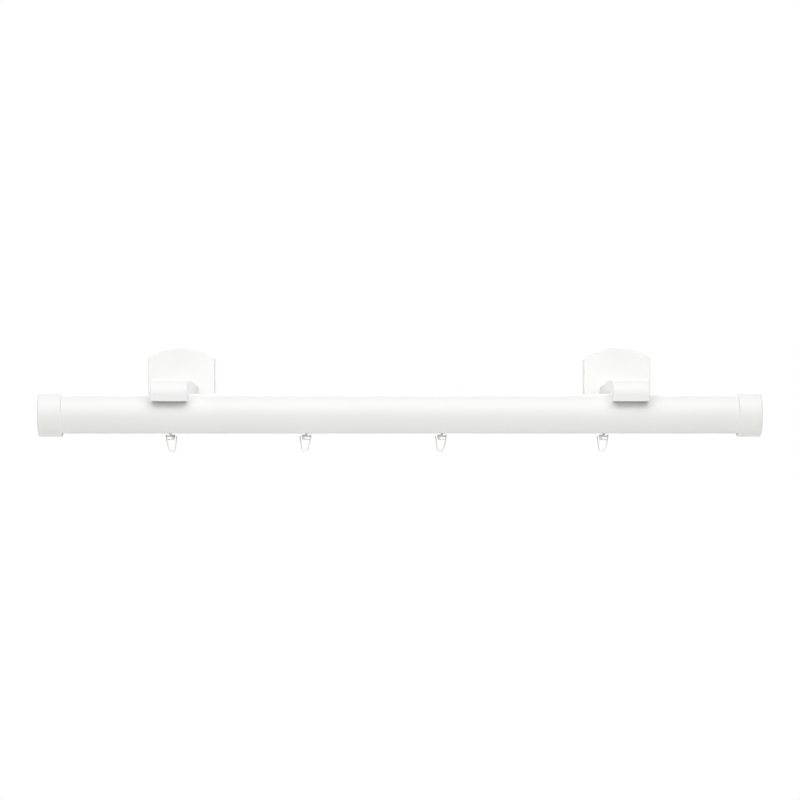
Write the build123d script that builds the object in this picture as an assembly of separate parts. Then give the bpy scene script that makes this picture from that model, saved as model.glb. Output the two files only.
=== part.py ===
from build123d import *
from math import sqrt
import os

# A white wooden curtain rod. A grooved pole holds a channel track, in which four gliders
# with swinging hooks run. Two wooden brackets reach from the wall over the pole.
# Lengths are millimetres. X runs along the pole, Y points into the wall and Z is up.
# The wall is at Y = 0, the middle of the two brackets at X = 0, the wall screws at Z = 0.

# The whole rod
bracket_spacing = 398.0
wall_to_pole = 150.0
pole_drop = 36.0

# Pole
pole_dia = 35.0
pole_between_caps = 585.4
pole_in_cap = 15.0
pole_end_chamfer = 1.0
groove_edge_round = 0.5

# Track: a C-shaped channel, flush with the mouth of the pole's groove
track_width = 12.0
track_height = 9.0
track_wall = 1.2
slot_width = 4.4
slot_edge_round = 0.4

# End caps: turned cups over the pole's ends
cap_dia = 39.0
cap_length = 20.2
cap_end_gap = 0.5
cap_end_round = 1.6
cap_mouth_round = 1.2

# Wall plates: straight sides under a shallow arch, heights from the pole's axis
plate_width = 60.7
plate_thickness = 16.0
plate_top = 59.9
plate_bottom = -16.0
plate_arch_rise = 9.4
plate_top_corner = 2.5
plate_bottom_corner = 2.0
plate_edge_round = 1.0

# Bracket arms: side view measured from the pole's axis
arm_width = 31.4
arm_top = 30.2
arm_flat_end = 28.0
arm_top_at_plate = 24.6
arm_top_blend = 150.0
arm_underside = -1.0
lip_front = 25.5
lip_bottom = 11.3
lip_top_round = 13.0
lip_bottom_round = 0.8
arm_edge_round = 0.8

# Keyhole plates, let into the backs of the wall plates
hanger_width = 26.0
hanger_height = 26.0
hanger_rise = 4.0
hanger_thickness = 1.5
hanger_corner = 6.0
keyhole_dia = 9.0
keyhole_slot = 4.4
keyhole_travel = 9.0
pocket_width = 12.0
pocket_depth = 6.0
hanger_screw_offset = 9.3

# Wood screws: shank diameter, head diameter, head height, length, tip length
pole_screw_size = (4.0, 7.8, 2.2, 30.0, 4.0)
arm_screw_size = (5.0, 9.4, 2.8, 50.0, 5.0)
hanger_screw_size = (3.0, 5.6, 1.5, 12.0, 3.0)
screw_head_rim = 0.4
pole_screw_recess = 0.6
arm_screw_recess = 0.3
arm_screw_offset = 8.0
arm_screw_height = 11.0

# Gliders: where each rests along the track, and which way round it is put in
glider_places = (-199.2, -81.2, 36.4, 176.8)
glider_turns = (180.0, 0.0, 0.0, 0.0)
bar_drop = 19.0
bar_dia = 1.3
bar_left = -4.2
bar_right = 4.3
head_length = 8.0
head_width = 9.0
head_height = 3.0
head_corner = 1.6
head_top_round = 0.8
head_lift = 0.05
neck_top_size = (2.6, 3.2)
neck_top_corner = 0.8
neck_bottom_size = (1.9, 1.3)
neck_bottom_corner = 0.4

# Hooks: one moulded wire each, in a plane along the pole, sizes from the cross bar
wire_dia = 1.1
bore_clearance = 0.05
clip_slit = 0.9
left_knuckle_dia = 2.7
left_knuckle_span = (-3.9, -1.2)
right_knuckle_dia = 2.3
right_knuckle_span = (2.8, 4.1)
knuckle_round = 0.3
bridge_dia = 1.0
bridge_height = -2.7
web_thickness = 1.2
web_inset = 0.2
web_corner = 0.4
hook_route = (
    (3.4, -1.0),
    (3.0, -4.4),
    (1.9, -9.4),
    (-0.2, -12.8),
    (-3.9, -12.8),
    (-5.5, -0.4),
)
hook_bends = (12.0, 8.0, 2.2, 2.2)

# Sizes that follow from the ones above
pole_r = pole_dia / 2
pole_y = -wall_to_pole
pole_z = -pole_drop
pole_length = pole_between_caps + 2 * pole_in_cap
track_bottom = -sqrt(pole_r**2 - (track_width / 2) ** 2)
track_top = track_bottom + track_height
bracket_places = {"left": -bracket_spacing / 2, "right": bracket_spacing / 2}
sides = {"left": -1, "right": 1}
cut_extra = 1.0
near = 0.01


def on_pole(shape):
    """Moves a shape made around the origin onto the pole's axis."""
    return Pos(0, pole_y, pole_z) * shape


def wood_screw(size):
    """A countersunk screw that points down, with the top of its head at the origin."""
    shank_dia, head_dia, head_height, length, tip = size
    outline = Polyline(
        (0, 0),
        (head_dia / 2, 0),
        (head_dia / 2, -screw_head_rim),
        (shank_dia / 2, -head_height),
        (shank_dia / 2, -(length - tip)),
        (0, -length),
        close=True,
    )
    return revolve(Plane.XZ * make_face(outline), Axis.Z)


def make_pole():
    bar = Cylinder(pole_r, pole_length, rotation=(0, 90, 0))
    bar = chamfer(bar.edges().filter_by(GeomType.CIRCLE), pole_end_chamfer)
    low = -pole_r - cut_extra
    groove = Box(pole_length + 2 * cut_extra, track_width, track_top - low)
    bar -= Pos(0, 0, (track_top + low) / 2) * groove
    mouth = bar.edges().filter_by(Axis.X).group_by(Axis.Z)[0]
    return on_pole(fillet(mouth, groove_edge_round))


def make_track():
    middle = (track_bottom + track_top) / 2
    channel_height = track_height - 2 * track_wall
    shell = Pos(0, middle) * Rectangle(track_width, track_height)
    channel = Pos(0, middle) * Rectangle(track_width - 2 * track_wall, channel_height)
    slot = Pos(0, track_bottom) * Rectangle(slot_width, 3 * track_wall)
    profile = shell - channel - slot
    lips = profile.vertices().filter_by(lambda v: abs(abs(v.X) - slot_width / 2) < near)
    profile = fillet(lips, slot_edge_round)
    return on_pole(extrude(Plane.YZ * profile, amount=pole_length / 2, both=True))


def make_end_cap(side):
    cup = Cylinder(cap_dia / 2, cap_length, rotation=(0, 90, 0))
    cup = fillet(cup.edges().group_by(Axis.X)[-1], cap_end_round)
    cup = fillet(cup.edges().group_by(Axis.X)[0], cap_mouth_round)
    bore_depth = pole_in_cap + cap_end_gap
    bore = Cylinder(pole_r, bore_depth + cut_extra, rotation=(0, 90, 0))
    cup -= Pos((bore_depth - cut_extra - cap_length) / 2, 0, 0) * bore
    cup = Pos((pole_between_caps + cap_length) / 2, 0, 0) * cup
    if side < 0:
        cup = cup.mirror(Plane.YZ)
    return on_pole(cup)


def plate_outline():
    half = plate_width / 2
    low = plate_bottom + pole_z
    high = plate_top + pole_z
    shoulder = high - plate_arch_rise
    base = Polyline((-half, shoulder), (-half, low), (half, low), (half, shoulder))
    arch = ThreePointArc((half, shoulder), (0, high), (-half, shoulder))
    face = make_face([*base.edges(), arch])
    rows = face.vertices().group_by(Axis.Y)
    face = fillet(rows[-1], plate_top_corner)
    return fillet(face.vertices().group_by(Axis.Y)[0], plate_bottom_corner)


def hanger_outline():
    return Pos(0, hanger_rise) * RectangleRounded(hanger_width, hanger_height, hanger_corner)


def keyhole_outline():
    slot = Pos(0, keyhole_travel / 2) * SlotCenterToCenter(keyhole_travel, keyhole_slot, rotation=90)
    return Circle(keyhole_dia / 2) + slot


def pocket_outline():
    return Pos(0, keyhole_travel / 2) * SlotCenterToCenter(keyhole_travel, pocket_width, rotation=90)


def facing_wall(screw, across, height, depth):
    """Turns a screw to point away from the wall, its head at a depth behind the wall plane."""
    return Pos(across, -depth, height) * Rot(-90, 0, 0) * screw


def hanger_screws():
    screw = wood_screw(hanger_screw_size)
    offsets = (-hanger_screw_offset, hanger_screw_offset)
    return Part() + [facing_wall(screw, x, hanger_rise, 0) for x in offsets]


def arm_screws():
    screw = wood_screw(arm_screw_size)
    height = arm_screw_height + pole_z
    offsets = (-arm_screw_offset, arm_screw_offset)
    return Part() + [facing_wall(screw, x, height, arm_screw_recess) for x in offsets]


def arm_screw_wells():
    """The round recesses over the sunk heads of the arm screws."""
    well = Pos(0, 0, arm_screw_recess / 2) * Cylinder(arm_screw_size[1] / 2, arm_screw_recess)
    height = arm_screw_height + pole_z
    offsets = (-arm_screw_offset, arm_screw_offset)
    return [facing_wall(well, x, height, arm_screw_recess) for x in offsets]


def pole_screw():
    return on_pole(Pos(0, 0, arm_top - pole_screw_recess) * wood_screw(pole_screw_size))


def make_hanger_plate():
    plate = extrude(Plane.XZ * (hanger_outline() - keyhole_outline()), hanger_thickness)
    return plate - hanger_screws()


def make_wall_plate():
    plate = extrude(Plane.XZ * plate_outline(), plate_thickness)
    front = plate.faces().sort_by(Axis.Y)[0]
    plate = fillet(front.edges(), plate_edge_round)
    plate -= extrude(Plane.XZ * hanger_outline(), hanger_thickness)
    plate -= extrude(Plane.XZ * pocket_outline(), hanger_thickness + pocket_depth)
    plate -= hanger_screws()
    plate -= arm_screws()
    return plate - arm_screw_wells()


def arm_side_view():
    """The arm seen from its side, as (Y, Z) from the pole's axis."""
    plate_front = wall_to_pole - plate_thickness
    saddle_back = (sqrt(pole_r**2 - arm_underside**2), arm_underside)
    saddle_front = (-sqrt(pole_r**2 - lip_bottom**2), lip_bottom)
    bend_centre = (lip_top_round - lip_front, arm_top - lip_top_round)
    diagonal = lip_top_round / sqrt(2)
    bend_middle = (bend_centre[0] - diagonal, bend_centre[1] + diagonal)
    edges = [
        Line((plate_front, arm_underside), saddle_back),
        ThreePointArc(saddle_back, (0, pole_r), saddle_front),
        Line(saddle_front, (-lip_front, lip_bottom)),
        Line((-lip_front, lip_bottom), (-lip_front, bend_centre[1])),
        ThreePointArc((-lip_front, bend_centre[1]), bend_middle, (bend_centre[0], arm_top)),
        Line((bend_centre[0], arm_top), (arm_flat_end, arm_top)),
        Line((arm_flat_end, arm_top), (plate_front, arm_top_at_plate)),
        Line((plate_front, arm_top_at_plate), (plate_front, arm_underside)),
    ]
    face = make_face(edges)
    bend = face.vertices().filter_by(lambda v: abs(v.X - arm_flat_end) < near)
    face = fillet(bend, arm_top_blend)
    front = face.vertices().filter_by(lambda v: abs(v.X + lip_front) < near)
    return fillet(front.sort_by(Axis.Y)[0], lip_bottom_round)


def make_bracket_arm():
    arm = on_pole(extrude(Plane.YZ * arm_side_view(), arm_width / 2, both=True))
    rims = arm.edges().filter_by(lambda e: abs(abs(e.center().X) - arm_width / 2) < near)
    rims = rims.filter_by(lambda e: abs(e.center().Y + plate_thickness) > near)
    saddle = rims.filter_by(GeomType.CIRCLE).filter_by(lambda e: abs(e.radius - pole_r) < near)
    arm = fillet([e for e in rims if e not in saddle], arm_edge_round)
    well = Cylinder(pole_screw_size[1] / 2, pole_screw_recess)
    well = Pos(0, 0, arm_top - pole_screw_recess / 2) * well
    return arm - pole_screw() - on_pole(well) - arm_screws()


def make_glider():
    """One moulded piece, with its cross bar's axis on the origin."""
    flange_top = track_bottom + track_wall + bar_drop
    head_low = flange_top + head_lift
    head_outline = RectangleRounded(head_length, head_width, head_corner)
    head = extrude(Pos(0, 0, head_low) * head_outline, head_height)
    head = fillet(head.edges().group_by(Axis.Z)[-1], head_top_round)
    neck_top = Pos(0, 0, head_low) * RectangleRounded(*neck_top_size, neck_top_corner)
    neck = loft([RectangleRounded(*neck_bottom_size, neck_bottom_corner), neck_top])
    bar = Cylinder(bar_dia / 2, bar_right - bar_left, rotation=(0, 90, 0))
    bar = fillet(bar.edges().filter_by(GeomType.CIRCLE), knuckle_round)
    return head + neck + Pos((bar_left + bar_right) / 2, 0, 0) * bar


def knuckle(dia, span):
    body = Cylinder(dia / 2, span[1] - span[0], rotation=(0, 90, 0))
    body = fillet(body.edges().filter_by(GeomType.CIRCLE), knuckle_round)
    return Pos((span[0] + span[1]) / 2, 0, 0) * body


def make_hook():
    """A moulded wire hook with two clips round the cross bar, whose axis is on the origin."""
    route = Plane.XZ * FilletPolyline(*hook_route, radius=list(hook_bends))
    wire = sweep(Plane(origin=route @ 0, z_dir=route % 0) * Circle(wire_dia / 2), path=route)
    tip = Pos(*(route @ 1)) * Sphere(wire_dia / 2)
    left, right = left_knuckle_span, right_knuckle_span
    web_left, web_right = left[0] + web_inset, left[1] - web_inset
    web = Box(web_right - web_left, web_thickness, -bridge_height)
    web = fillet(web.edges().filter_by(Axis.Z), web_corner)
    web = Pos((web_left + web_right) / 2, 0, bridge_height / 2) * web
    bridge_end = hook_route[0][0]
    bridge_start = web_left + web_corner
    bridge = Cylinder(bridge_dia / 2, bridge_end - bridge_start, rotation=(0, 90, 0))
    bridge = Pos((bridge_start + bridge_end) / 2, 0, bridge_height) * bridge
    clips = knuckle(left_knuckle_dia, left) + knuckle(right_knuckle_dia, right)
    hook = wire + tip + clips + web + bridge
    across = right[1] - left[0] + cut_extra
    bore = Cylinder(bar_dia / 2 + bore_clearance, across, rotation=(0, 90, 0))
    slit = Pos(0, left_knuckle_dia / 2, 0) * Box(across, left_knuckle_dia, clip_slit)
    return hook - Pos((left[0] + right[1]) / 2, 0, 0) * (bore + slit)


def write(shape, name):
    shape.label = name
    export_step(shape, f"parts/{name}.step")


os.makedirs("parts", exist_ok=True)
pole = make_pole()
for place in bracket_places.values():
    pole -= Pos(place, 0, 0) * pole_screw()
write(pole, "pole")
write(make_track(), "track")
bracket = {
    "wall_plate": make_wall_plate(),
    "bracket_arm": make_bracket_arm(),
    "pole_screw": pole_screw(),
    "arm_screws": arm_screws(),
    "hanger_plate": make_hanger_plate(),
    "hanger_screws": hanger_screws(),
}
for side, place in bracket_places.items():
    write(make_end_cap(sides[side]), f"end_cap_{side}")
    for piece, shape in bracket.items():
        write(Pos(place, 0, 0) * shape, f"{piece}_{side}")
glider = make_glider()
hook = make_hook()
for number, (place, turn) in enumerate(zip(glider_places, glider_turns), start=1):
    hanging = Pos(place, pole_y, pole_z - bar_drop) * Rot(0, 0, turn)
    write(hanging * glider, f"glider_{number}")
    write(hanging * hook, f"hook_{number}")
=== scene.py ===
from collections import namedtuple
from math import cos, pi, sin

import bmesh
import bpy
from mathutils import Matrix, Vector


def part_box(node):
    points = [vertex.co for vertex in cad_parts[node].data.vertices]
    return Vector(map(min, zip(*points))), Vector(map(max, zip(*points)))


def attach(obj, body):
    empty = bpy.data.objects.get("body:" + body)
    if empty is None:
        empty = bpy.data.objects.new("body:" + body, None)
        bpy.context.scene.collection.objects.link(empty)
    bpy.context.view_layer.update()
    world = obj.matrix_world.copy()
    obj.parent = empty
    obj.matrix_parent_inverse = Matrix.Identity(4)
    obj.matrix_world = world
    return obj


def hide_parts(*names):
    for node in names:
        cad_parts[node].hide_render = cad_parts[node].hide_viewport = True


# The looks of the white wooden curtain rod. Lengths are metres, in the frame of the model:
# X runs along the pole, Y points into the wall and Z is up.
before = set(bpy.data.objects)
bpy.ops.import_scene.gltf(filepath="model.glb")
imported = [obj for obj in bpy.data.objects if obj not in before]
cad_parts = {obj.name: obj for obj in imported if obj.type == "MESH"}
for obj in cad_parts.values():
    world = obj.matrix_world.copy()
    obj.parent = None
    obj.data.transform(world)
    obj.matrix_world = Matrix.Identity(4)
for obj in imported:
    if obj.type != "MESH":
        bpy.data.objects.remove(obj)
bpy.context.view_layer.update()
MM = 0.001

# The camera stands level in front of the rod, a little to the left of its middle
CAMERA_PLACE = Vector((-0.0128, -2.710, -0.0235))
CAMERA_AIM = Vector((0.0, -0.150, -0.0235))
CAMERA_LENS = 132.7
CAMERA_SENSOR = 36.0

# Light: a dim even room, and broad soft lamps in front of the rod, under it, behind it and at its
# ends. Each lamp has its name, its place seen from the pole's middle, its width and height, its
# power and its colour. The two lamps under the rod are a little warm, as light off a floor is.
ROOM_LIGHT = 0.12
BACKGROUND_LIGHT = 1.0
WHITE = (1.0, 1.0, 1.0, 1.0)
LAMP_AIM = Vector((0.0, -0.150, -0.036))
NEUTRAL = (1.0, 1.0, 1.0)
WARM = (1.0, 1.0, 0.97)
WIDE = (2.4, 0.6)
BROAD = (1.6, 0.8)
SQUARE = (0.8, 0.8)
LAMPS = (
    ("soft_front_low", (0.0, -1.212, 0.700), WIDE, 12.4, NEUTRAL),
    ("soft_front_middle", (0.0, -0.990, 0.990), WIDE, 7.1, NEUTRAL),
    ("soft_front_high", (0.0, -0.700, 1.212), WIDE, 5.7, NEUTRAL),
    ("soft_under_front", (0.0, -0.362, -1.352), WIDE, 8.2, WARM),
    ("soft_under", (0.0, 0.0, -1.1), BROAD, 7.6, WARM),
    ("soft_back", (0.0, 1.2, 0.5), BROAD, 16.0, NEUTRAL),
    ("soft_left", (-1.4, -0.3, 0.2), SQUARE, 2.8, NEUTRAL),
    ("soft_right", (1.4, -0.3, 0.2), SQUARE, 2.8, NEUTRAL),
)

# Floor: a pale disc that fades out at its edge
FLOOR_HEIGHT = -0.55
FLOOR_RADIUS = 1.2
FLOOR_FADE_START = 0.7
FLOOR_SIDES = 96
FLOOR_COLOUR = (0.9, 0.9, 0.895, 1.0)
FLOOR_ROUGHNESS = 0.8

# Noise has its scale along each axis, in blotches a metre, and mostly lies inside this span
NOISE_SPAN = (0.3, 0.7)
NOISE_DETAIL = 3.0

# Satin white paint on close-grained wood. Spans of colour and roughness follow noise, and each
# bump has its height and its strength.
PAINT_COLOUR = (0.875, 0.875, 0.87, 1.0)
PAINT_TINTS = ((0.868, 0.868, 0.862, 1.0), (0.882, 0.882, 0.878, 1.0))
PAINT_TINT_SCALE = (14.0, 14.0, 14.0)
PAINT_ROUGHNESS = 0.52
PAINT_SHEEN = (0.48, 0.56)
PAINT_SHEEN_SCALE = (60.0, 60.0, 60.0)
GRAIN_ACROSS = 1400.0
GRAIN_ALONG = 35.0
GRAIN_DETAIL = 4.0
GRAIN_BUMP = (0.05 * MM, 0.8)
PAINT_GRIT_SCALE = (700.0, 700.0, 700.0)
PAINT_GRIT_DETAIL = 1.0
PAINT_GRIT_BUMP = (0.04 * MM, 0.5)

# White lacquer on the track
LACQUER_COLOUR = (0.84, 0.84, 0.83, 1.0)
LACQUER_ROUGHNESS = 0.3
LACQUER_SHEEN = (0.26, 0.36)
LACQUER_LINES_SCALE = (3.0, 2600.0, 2600.0)
LACQUER_LINES_BUMP = (0.02 * MM, 0.3)

# White plastic of the gliders and hooks
PLASTIC_COLOUR = (0.82, 0.82, 0.815, 1.0)
PLASTIC_ROUGHNESS = 0.34
PLASTIC_SHEEN = (0.3, 0.4)
PLASTIC_GLOW = 0.3
PLASTIC_GLOW_DEPTH = 0.6 * MM
PLASTIC_IOR = 1.48
PLASTIC_MOTTLE_SCALE = (900.0, 900.0, 900.0)
PLASTIC_MOTTLE_BUMP = (0.02 * MM, 0.25)

# Zinc plating of the screws and keyhole plates
ZINC_COLOUR = (0.62, 0.63, 0.65, 1.0)
ZINC_CLOUDS = ((0.52, 0.53, 0.55, 1.0), (0.68, 0.69, 0.70, 1.0))
ZINC_CLOUD_SCALE = (420.0, 420.0, 420.0)
ZINC_ROUGHNESS = 0.34
ZINC_SHEEN = (0.28, 0.44)
ZINC_MARKS_SCALE = (3000.0, 3000.0, 250.0)
ZINC_MARKS_BUMP = (0.02 * MM, 0.3)

# Wood screws, as the wood holds them
Screw = namedtuple("Screw", "shank_dia head_dia head_height length tip")
POLE_SCREW = Screw(4.0 * MM, 7.8 * MM, 2.2 * MM, 30.0 * MM, 4.0 * MM)
ARM_SCREW = Screw(5.0 * MM, 9.4 * MM, 2.8 * MM, 50.0 * MM, 5.0 * MM)
HANGER_SCREW = Screw(3.0 * MM, 5.6 * MM, 1.5 * MM, 12.0 * MM, 3.0 * MM)
SCREW_SIDES = 32
SHARP_ANGLE = 0.6

# Height of the head's rim, and the smooth part's share of the length
HEAD_RIM = 0.4 * MM
SMOOTH_SHANK = 0.3

# Thread: its pitch as a share of the shank's diameter, its root as a share of the crest's radius,
# half its crest's width as a share of the pitch, and its rings on each turn
THREAD_PITCH = 0.5
THREAD_ROOT = 0.68
THREAD_CREST = 0.25
THREAD_RINGS = 10

# Cross recess: the reach and half width of its blades as shares of the head's radius, its depth as
# a share of the head's height, what is left of reach and width at its bottom, and how far its
# cutter stands above the head
CROSS_REACH = 0.56
CROSS_BLADE = 0.12
CROSS_DEPTH = 0.75
CROSS_BOTTOM_REACH = 0.35
CROSS_BOTTOM_BLADE = 0.7
CROSS_OVER = 0.2 * MM


def new_material(name, colour, roughness):
    """A material with its Principled shader set to one colour and roughness."""
    material = bpy.data.materials.new(name)
    material.use_nodes = True
    shader = material.node_tree.nodes["Principled BSDF"]
    shader.inputs["Base Color"].default_value = colour
    shader.inputs["Roughness"].default_value = roughness
    return material, material.node_tree, shader


def stretched_noise(tree, scale, detail=NOISE_DETAIL):
    """Noise in the object's own coordinates, with its own scale along each axis."""
    coordinates = tree.nodes.new("ShaderNodeTexCoord")
    mapping = tree.nodes.new("ShaderNodeMapping")
    mapping.inputs["Scale"].default_value = scale
    noise = tree.nodes.new("ShaderNodeTexNoise")
    noise.inputs["Scale"].default_value = 1.0
    noise.inputs["Detail"].default_value = detail
    tree.links.new(coordinates.outputs["Object"], mapping.inputs["Vector"])
    tree.links.new(mapping.outputs["Vector"], noise.inputs["Vector"])
    return noise.outputs["Fac"]


def blend_colours(tree, noise, colours):
    """Turns noise into colours between two."""
    node = tree.nodes.new("ShaderNodeValToRGB")
    for element, position, colour in zip(node.color_ramp.elements, NOISE_SPAN, colours):
        element.position = position
        element.color = colour
    tree.links.new(noise, node.inputs["Fac"])
    return node.outputs["Color"]


def remap(tree, value, source, target, curve="LINEAR"):
    """Maps a value from one span to another."""
    node = tree.nodes.new("ShaderNodeMapRange")
    node.interpolation_type = curve
    sockets = ("From Min", "From Max", "To Min", "To Max")
    for socket, number in zip(sockets, (*source, *target)):
        node.inputs[socket].default_value = number
    tree.links.new(value, node.inputs["Value"])
    return node.outputs["Result"]


def combine(tree, operation, first, second):
    """What a Math node makes of two values, kept between 0 and 1."""
    node = tree.nodes.new("ShaderNodeMath")
    node.operation = operation
    node.use_clamp = True
    tree.links.new(first, node.inputs[0])
    tree.links.new(second, node.inputs[1])
    return node.outputs["Value"]


def bump(tree, relief, size, below=None):
    """A bump of a height and strength, on top of an earlier bump if one is given."""
    node = tree.nodes.new("ShaderNodeBump")
    node.inputs["Distance"].default_value = size[0]
    node.inputs["Strength"].default_value = size[1]
    tree.links.new(relief, node.inputs["Height"])
    if below is not None:
        tree.links.new(below, node.inputs["Normal"])
    return node.outputs["Normal"]


def painted_wood(name, grain_axis):
    """Satin white paint on close-grained wood, whose grain runs along one axis."""
    material, tree, shader = new_material(name, PAINT_COLOUR, PAINT_ROUGHNESS)
    tint = blend_colours(tree, stretched_noise(tree, PAINT_TINT_SCALE), PAINT_TINTS)
    tree.links.new(tint, shader.inputs["Base Color"])
    patches = stretched_noise(tree, PAINT_SHEEN_SCALE)
    tree.links.new(remap(tree, patches, NOISE_SPAN, PAINT_SHEEN), shader.inputs["Roughness"])
    scale = [GRAIN_ALONG if axis == grain_axis else GRAIN_ACROSS for axis in "XYZ"]
    grain = bump(tree, stretched_noise(tree, scale, GRAIN_DETAIL), GRAIN_BUMP)
    grit = stretched_noise(tree, PAINT_GRIT_SCALE, PAINT_GRIT_DETAIL)
    tree.links.new(bump(tree, grit, PAINT_GRIT_BUMP, grain), shader.inputs["Normal"])
    return material


def coated_channel():
    """White lacquer on a drawn metal channel, with faint lines along its length."""
    material, tree, shader = new_material("track_lacquer", LACQUER_COLOUR, LACQUER_ROUGHNESS)
    lines = stretched_noise(tree, LACQUER_LINES_SCALE)
    tree.links.new(remap(tree, lines, NOISE_SPAN, LACQUER_SHEEN), shader.inputs["Roughness"])
    tree.links.new(bump(tree, lines, LACQUER_LINES_BUMP), shader.inputs["Normal"])
    return material


def moulded_plastic():
    """Smooth white plastic that lets a little light through thin sections."""
    material, tree, shader = new_material("milky_plastic", PLASTIC_COLOUR, PLASTIC_ROUGHNESS)
    shader.inputs["Subsurface Weight"].default_value = PLASTIC_GLOW
    shader.inputs["Subsurface Radius"].default_value = (1.0, 1.0, 1.0)
    shader.inputs["Subsurface Scale"].default_value = PLASTIC_GLOW_DEPTH
    shader.inputs["IOR"].default_value = PLASTIC_IOR
    mottle = stretched_noise(tree, PLASTIC_MOTTLE_SCALE)
    tree.links.new(remap(tree, mottle, NOISE_SPAN, PLASTIC_SHEEN), shader.inputs["Roughness"])
    tree.links.new(bump(tree, mottle, PLASTIC_MOTTLE_BUMP), shader.inputs["Normal"])
    return material


def zinc_steel():
    """Bright zinc plating, a little cloudy, with fine drawing marks."""
    material, tree, shader = new_material("zinc_plate", ZINC_COLOUR, ZINC_ROUGHNESS)
    shader.inputs["Metallic"].default_value = 1.0
    clouds = blend_colours(tree, stretched_noise(tree, ZINC_CLOUD_SCALE), ZINC_CLOUDS)
    tree.links.new(clouds, shader.inputs["Base Color"])
    marks = stretched_noise(tree, ZINC_MARKS_SCALE)
    tree.links.new(remap(tree, marks, NOISE_SPAN, ZINC_SHEEN), shader.inputs["Roughness"])
    tree.links.new(bump(tree, marks, ZINC_MARKS_BUMP), shader.inputs["Normal"])
    return material


def dress(node, material):
    """Gives a node of the model its finish."""
    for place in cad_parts[node].material_slots:
        place.material = material


def screw_outline(screw):
    """Rings down a screw, as (depth, radius, share of thread height) from the head's top."""
    shank = screw.shank_dia / 2
    head = screw.head_dia / 2
    start = SMOOTH_SHANK * screw.length
    rings = [(0.0, head, 0.0), (HEAD_RIM, head, 0.0)]
    rings += [(screw.head_height, shank, 0.0), (start, shank, 0.0)]
    pitch = THREAD_PITCH * screw.shank_dia
    count = round((screw.length - start) / pitch * THREAD_RINGS)
    for step in range(1, count):
        depth = start + (screw.length - start) * step / count
        taper = min(1.0, (screw.length - depth) / screw.tip)
        fade = min(1.0, (depth - start) / pitch)
        rings.append((depth, shank * taper, fade))
    return rings


def join_rings(shape, rings):
    """Faces between each ring of points and the next one."""
    for upper, lower in zip(rings, rings[1:]):
        for spot in range(len(upper)):
            following = (spot + 1) % len(upper)
            shape.faces.new((upper[spot], lower[spot], lower[following], upper[following]))


def screw_body(screw):
    """A screw that points down, its head's top at the origin, with a real helical thread."""
    pitch = THREAD_PITCH * screw.shank_dia
    body = bmesh.new()
    rings = []
    for depth, radius, threaded in screw_outline(screw):
        ring = []
        for side in range(SCREW_SIDES):
            angle = 2 * pi * side / SCREW_SIDES
            turn = (depth / pitch - side / SCREW_SIDES) % 1.0
            crest = max(0.0, 1.0 - abs(turn - 0.5) / THREAD_CREST)
            cut = threaded * (1.0 - THREAD_ROOT) * (1.0 - crest)
            reach = radius * (1.0 - cut)
            ring.append(body.verts.new((reach * cos(angle), reach * sin(angle), -depth)))
        rings.append(ring)
    join_rings(body, rings)
    body.faces.new(rings[0])
    point = body.verts.new((0.0, 0.0, -screw.length))
    for side in range(SCREW_SIDES):
        body.faces.new((rings[-1][side], point, rings[-1][(side + 1) % SCREW_SIDES]))
    bmesh.ops.recalc_face_normals(body, faces=body.faces)
    return body


def cross_cutter(screw):
    """The tapered cross that is pressed into a screw's head."""
    reach = CROSS_REACH * screw.head_dia / 2
    blade = CROSS_BLADE * screw.head_dia / 2
    between = (reach + blade) / 2
    outline = []
    for quarter in range(4):
        turn = Matrix.Rotation(quarter * pi / 2, 2)
        for corner in ((reach, -blade), (reach, blade), (blade, blade)):
            outline.append(turn @ Vector(corner))
    bottom = -CROSS_DEPTH * screw.head_height
    levels = ((CROSS_OVER, 1.0, 1.0), (0.0, 1.0, 1.0), (bottom, CROSS_BOTTOM_REACH, CROSS_BOTTOM_BLADE))
    cutter = bmesh.new()
    rings = []
    for height, reach_left, blade_left in levels:
        ring = []
        for spot in outline:
            x, y = [value * (reach_left if abs(value) > between else blade_left) for value in spot]
            ring.append(cutter.verts.new((x, y, height)))
        rings.append(ring)
    join_rings(cutter, rings)
    cutter.faces.new(rings[0])
    cutter.faces.new(rings[-1])
    bmesh.ops.recalc_face_normals(cutter, faces=cutter.faces)
    return cutter


def new_object(name, shape):
    """Puts a finished bmesh into the scene as an object."""
    mesh = bpy.data.meshes.new(name)
    shape.to_mesh(mesh)
    shape.free()
    piece = bpy.data.objects.new(name, mesh)
    bpy.context.scene.collection.objects.link(piece)
    return piece


def screw_mesh(name, screw):
    """The mesh of one screw with its cross cut out."""
    body = new_object(name, screw_body(screw))
    cutter = new_object(name + "_cross", cross_cutter(screw))
    cut = body.modifiers.new("cross", "BOOLEAN")
    cut.object = cutter
    cut.operation = "DIFFERENCE"
    cut.solver = "EXACT"
    seen = body.evaluated_get(bpy.context.evaluated_depsgraph_get())
    mesh = bpy.data.meshes.new_from_object(seen)
    bpy.data.objects.remove(body)
    bpy.data.objects.remove(cutter)
    mesh.name = name
    return mesh


def screw_group(node, mesh, places, turn, material):
    """Screws that stand for one node, each turned and moved to its place."""
    shape = bmesh.new()
    for place in places:
        single = mesh.copy()
        single.transform(Matrix.Translation(place) @ turn)
        shape.from_mesh(single)
        bpy.data.meshes.remove(single)
    piece = new_object(node + "_threaded", shape)
    piece.data.materials.append(material)
    for face in piece.data.polygons:
        face.use_smooth = True
    piece.data.set_sharp_from_angle(angle=SHARP_ANGLE)
    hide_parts(node)
    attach(piece, "rod")


def middle(node):
    """The middle of a node's box."""
    low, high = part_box(node)
    return (low + high) / 2


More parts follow.
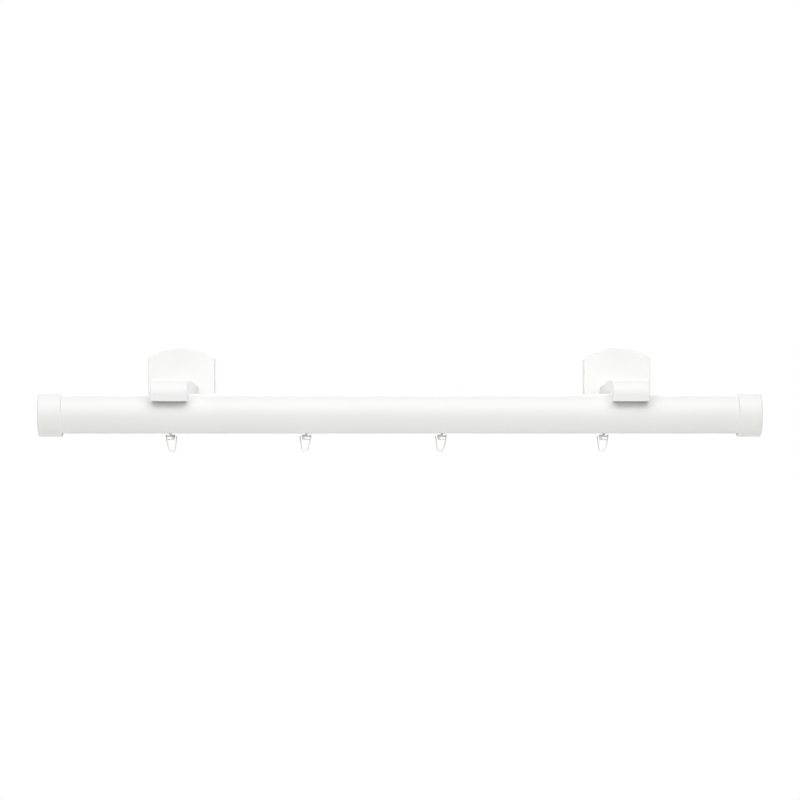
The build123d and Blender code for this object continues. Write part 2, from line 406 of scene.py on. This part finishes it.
def add_screws(material):
    """Threaded screws with cross recesses, where the model has its plain ones."""
    pole_mesh = screw_mesh("pole_screw_form", POLE_SCREW)
    arm_mesh = screw_mesh("arm_screw_form", ARM_SCREW)
    hanger_mesh = screw_mesh("hanger_screw_form", HANGER_SCREW)
    upright = Matrix.Identity(4)
    from_wall = Matrix.Rotation(-pi / 2, 4, "X")
    pairs = (("arm_screws", arm_mesh, ARM_SCREW), ("hanger_screws", hanger_mesh, HANGER_SCREW))
    for side in ("left", "right"):
        node = f"pole_screw_{side}"
        centre = middle(node)
        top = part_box(node)[1].z
        screw_group(node, pole_mesh, [Vector((centre.x, centre.y, top))], upright, material)
        for stem, mesh, screw in pairs:
            node = f"{stem}_{side}"
            low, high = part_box(node)
            head = screw.head_dia / 2
            height = middle(node).z
            places = [Vector((x, high.y, height)) for x in (low.x + head, high.x - head)]
            screw_group(node, mesh, places, from_wall, material)


def dress_model():
    """Every node of the model gets its finish."""
    along_pole = painted_wood("paint_along_pole", "X")
    upright = painted_wood("paint_upright", "Z")
    towards_wall = painted_wood("paint_towards_wall", "Y")
    plastic = moulded_plastic()
    zinc = zinc_steel()
    dress("pole", along_pole)
    dress("track", coated_channel())
    for side in ("left", "right"):
        dress(f"end_cap_{side}", along_pole)
        dress(f"wall_plate_{side}", upright)
        dress(f"bracket_arm_{side}", towards_wall)
        for stem in ("pole_screw", "arm_screws", "hanger_plate", "hanger_screws"):
            dress(f"{stem}_{side}", zinc)
    for number in range(1, 5):
        dress(f"glider_{number}", plastic)
        dress(f"hook_{number}", plastic)
    add_screws(zinc)


def seen_directly(tree):
    """One for camera, glossy and transmission rays, and nought for the light that others carry."""
    path = tree.nodes.new("ShaderNodeLightPath")
    shown = combine(tree, "MAXIMUM", path.outputs["Is Camera Ray"], path.outputs["Is Glossy Ray"])
    return combine(tree, "MAXIMUM", shown, path.outputs["Is Transmission Ray"])


def light_room():
    """A plain white background, and dimmer even light that comes from it."""
    world = bpy.data.worlds.new("room")
    bpy.context.scene.world = world
    world.use_nodes = True
    tree = world.node_tree
    tree.nodes.clear()
    mix = tree.nodes.new("ShaderNodeMixShader")
    for place, strength in ((1, ROOM_LIGHT), (2, BACKGROUND_LIGHT)):
        light = tree.nodes.new("ShaderNodeBackground")
        light.inputs["Color"].default_value = WHITE
        light.inputs["Strength"].default_value = strength
        tree.links.new(light.outputs["Background"], mix.inputs[place])
    output = tree.nodes.new("ShaderNodeOutputWorld")
    tree.links.new(seen_directly(tree), mix.inputs["Fac"])
    tree.links.new(mix.outputs["Shader"], output.inputs["Surface"])


def aim(thing, place, target):
    """Stands a lamp or the camera at a place and turns it to a target."""
    thing.location = place
    thing.rotation_mode = "QUATERNION"
    thing.rotation_quaternion = (target - place).to_track_quat("-Z", "Y")


def add_lamps():
    """The broad soft lamps, which the camera doesn't see."""
    for name, offset, (width, height), power, colour in LAMPS:
        data = bpy.data.lights.new(name, "AREA")
        data.shape = "RECTANGLE"
        data.size = width
        data.size_y = height
        data.energy = power
        data.color = colour
        lamp = bpy.data.objects.new(name, data)
        lamp.visible_camera = False
        bpy.context.scene.collection.objects.link(lamp)
        aim(lamp, LAMP_AIM + Vector(offset), LAMP_AIM)


def floor_material():
    """Pale floor paint that turns clear towards the disc's edge, and is clear from below. It takes
    the rod's shadow, and throws no light back at the rod."""
    material, tree, shader = new_material("pale_floor", FLOOR_COLOUR, FLOOR_ROUGHNESS)
    coordinates = tree.nodes.new("ShaderNodeTexCoord")
    distance = tree.nodes.new("ShaderNodeVectorMath")
    distance.operation = "LENGTH"
    tree.links.new(coordinates.outputs["Object"], distance.inputs[0])
    rim = (FLOOR_FADE_START, FLOOR_RADIUS)
    fade = remap(tree, distance.outputs["Value"], rim, (1.0, 0.0), "SMOOTHSTEP")
    shown = combine(tree, "MULTIPLY", fade, seen_directly(tree))
    underside = tree.nodes.new("ShaderNodeNewGeometry").outputs["Backfacing"]
    tree.links.new(combine(tree, "SUBTRACT", shown, underside), shader.inputs["Alpha"])
    return material


def add_floor():
    """The pale floor under the rod."""
    shape = bmesh.new()
    bmesh.ops.create_circle(shape, cap_ends=True, segments=FLOOR_SIDES, radius=FLOOR_RADIUS)
    floor = new_object("floor", shape)
    floor.location = (0.0, LAMP_AIM.y, FLOOR_HEIGHT)
    floor.data.materials.append(floor_material())


def add_camera():
    """The camera of the photograph."""
    data = bpy.data.cameras.new("camera")
    data.lens = CAMERA_LENS
    data.sensor_width = CAMERA_SENSOR
    camera = bpy.data.objects.new("camera", data)
    bpy.context.scene.collection.objects.link(camera)
    aim(camera, CAMERA_PLACE, CAMERA_AIM)
    bpy.context.scene.camera = camera


bpy.context.scene.view_settings.view_transform = "Standard"
add_camera()
light_room()
add_lamps()
add_floor()
dress_model()
